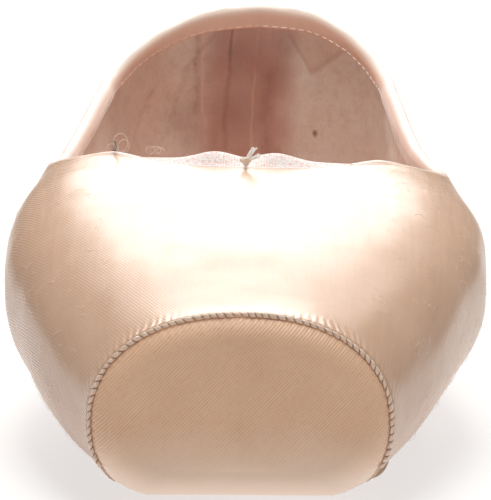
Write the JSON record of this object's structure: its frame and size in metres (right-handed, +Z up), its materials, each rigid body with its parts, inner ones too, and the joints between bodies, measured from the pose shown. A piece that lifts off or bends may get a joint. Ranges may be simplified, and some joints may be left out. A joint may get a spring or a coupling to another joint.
{
  "type": "pointe shoe",
  "caption": "Satin pointe shoe with a flat toe platform, a hollow paste-stiffened box, a bound topline with a drawstring casing, a canvas insole and a leather outsole, standing unworn.",
  "frame": {"origin": "on the floor, under the middle of the shoe's length and width", "axes": "+Y along the shoe towards the heel, +Z up, +X to the shoe's side that is right when looking at the toe"},
  "size_m": [0.0806, 0.2373, 0.0561],
  "materials": {
    "satin": "glossy satin",
    "platform_satin": "satin, in shade",
    "binding": "satin tape",
    "casing": "open knitted tape",
    "lining": "matte cotton",
    "leather": "matte",
    "thread": "cotton cord"
  },
  "bodies": {
    "root": {"upper": "satin", "outsole": "leather", "insole": "lining", "platform_cover": "platform_satin", "platform_seam": "platform_satin", "collar_binding": "binding", "throat_casing": "casing", "drawstring_knot": "thread", "drawstring_end_left": "thread", "drawstring_end_right": "thread"}
  },
  "joints": []
}
